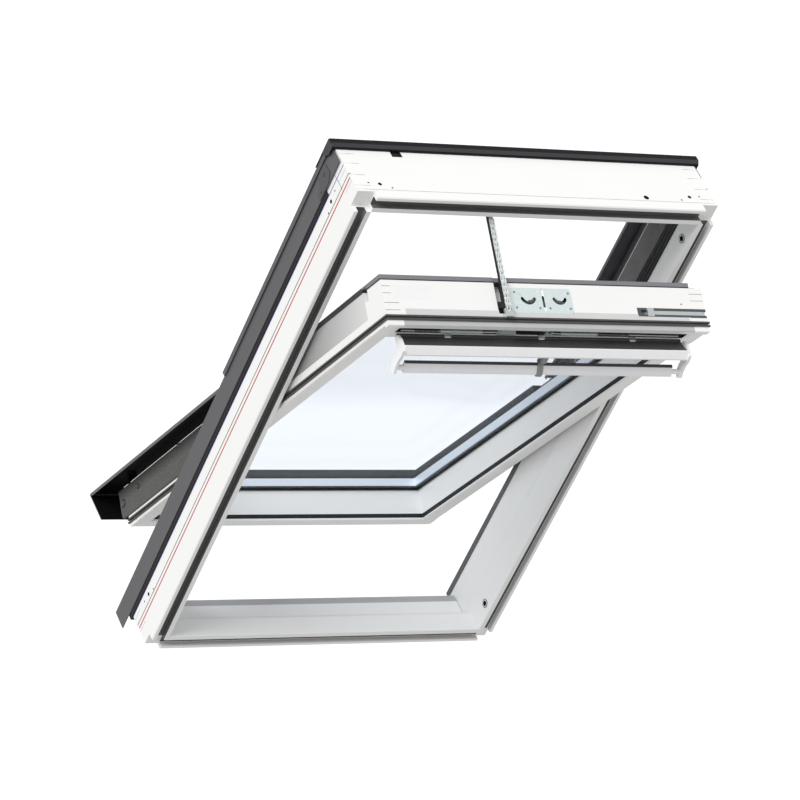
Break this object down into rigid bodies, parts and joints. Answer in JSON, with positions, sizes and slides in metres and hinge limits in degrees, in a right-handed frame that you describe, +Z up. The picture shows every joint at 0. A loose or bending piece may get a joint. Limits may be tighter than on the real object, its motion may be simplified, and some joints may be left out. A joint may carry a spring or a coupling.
{
  "type": "roof window",
  "caption": "Centre-pivot roof window: coated timber frame and double glazed sash on side pivots, with folded covers, vent flap, control bar and a chain operator in the head.",
  "frame": {"origin": "middle of the sill's lower end face, halfway through the depth of the frame timber", "axes": "+X to the right along the head as seen from the room, +Y outward through the roof, +Z up the roof slope from sill to head; the sash is stored turned 24.9 degrees open about X"},
  "size_m": [0.798, 0.6277, 1.235],
  "materials": {
    "timber_white": "white polyurethane coating, satin",
    "plastic_white": "moulded, matt",
    "line_red": "coloured strip",
    "line_blue": "coloured strip",
    "rubber_black": "extruded seal",
    "rail_grey": "fine grained surface",
    "cover_grey": "lacquered folded aluminium sheet",
    "cover_light": "lacquered folded aluminium sheet",
    "steel": "zinc plated pressed steel",
    "steel_dark": "hardened steel, dull",
    "housing": "moulded, matt",
    "glass": "clear, coated",
    "spacer": "matt",
    "alu_white": "powder coated extrusion",
    "foam": "open foam in a black liner",
    "label": "blank film"
  },
  "bodies": {
    "frame": {"frame_top": "timber_white", "frame_bottom": "timber_white", "frame_left": "timber_white", "frame_right": "timber_white", "room_edge_top": "timber_white", "room_edge_bottom": "timber_white", "room_edge_left": "timber_white", "room_edge_right": "timber_white", "bushes": "plastic_white", "level_line_red": "line_red", "level_line_blue": "line_blue", "membrane_seals": "rubber_black", "flank_strips": "rubber_black", "frame_gaskets": "rubber_black", "rail_upper_left": "rail_grey", "rail_upper_right": "rail_grey", "frame_top_cover": "cover_grey", "cladding_left": "cover_grey", "cladding_right": "cover_grey", "side_cover_left": "cover_grey", "side_cover_right": "cover_grey", "frame_bottom_cover": "cover_grey", "cover_clips": "cover_light", "hinge_frame_left": "steel", "hinge_frame_right": "steel", "operator_housing": "housing", "operator_cover": "plastic_white", "operator_motor": "steel_dark", "chain": "steel"},
    "sash": {"sash_top": "timber_white", "sash_bottom": "timber_white", "sash_left": "timber_white", "sash_right": "timber_white", "sash_gasket": "rubber_black", "inner_gasket": "rubber_black", "pane_outer": "glass", "pane_inner": "glass", "glass_spacer": "spacer", "glazing_gasket": "rubber_black", "sash_top_cover": "cover_light", "sash_side_strips": "cover_grey", "sash_bottom_cover": "cover_grey", "sash_cover_left": "cover_grey", "sash_cover_right": "cover_grey", "rail_lower_left": "rail_grey", "rail_lower_right": "rail_grey", "hinge_sash_left": "steel", "hinge_sash_right": "steel", "lock_plate": "steel", "lock_claws": "steel_dark", "lock_screws": "steel", "bolt_guide": "steel_dark", "label_plate": "label", "vent_filter": "foam", "flap_rod": "steel", "latch_block": "steel"},
    "flap": {"vent_flap": "alu_white", "control_bar": "alu_white", "bar_ends": "plastic_white", "bar_bracket": "alu_white"},
    "bolt": {"barrel_bolt": "steel"},
    "chain_end": {"chain_hook": "steel"},
    "sprocket": {"chain_sprocket": "steel"}
  },
  "joints": [
    {"name": "sash_pivot", "type": "hinge", "parent": "frame", "child": "sash", "pos_m": [0, 0.085, 0.59], "axis": [1, 0, 0], "range_deg": [-24.9, 125]},
    {"name": "flap_pivot", "type": "hinge", "parent": "sash", "child": "flap", "pos_m": [0, -0.22536, 0.99497], "axis": [1, 0, 0], "range_deg": [-45, 0]},
    {"name": "barrel_bolt_slide", "type": "slide", "parent": "sash", "child": "bolt", "axis": [1, 0, 0], "range_m": [0, 0.012]},
    {"name": "chain_feed", "type": "slide", "parent": "frame", "child": "chain_end", "axis": [0, 0.907, 0.421], "range_m": [0, 0.19], "deforming": ["chain"]},
    {"name": "sprocket_spin", "type": "hinge", "parent": "frame", "child": "sprocket", "pos_m": [-0.095, 0.019, 1.1575], "axis": [1, 0, 0], "range_deg": [0, 1400]}
  ],
  "couplings": [
    {"joint": "sprocket_spin", "follows": "chain_feed", "rad_per_m": 125}
  ]
}
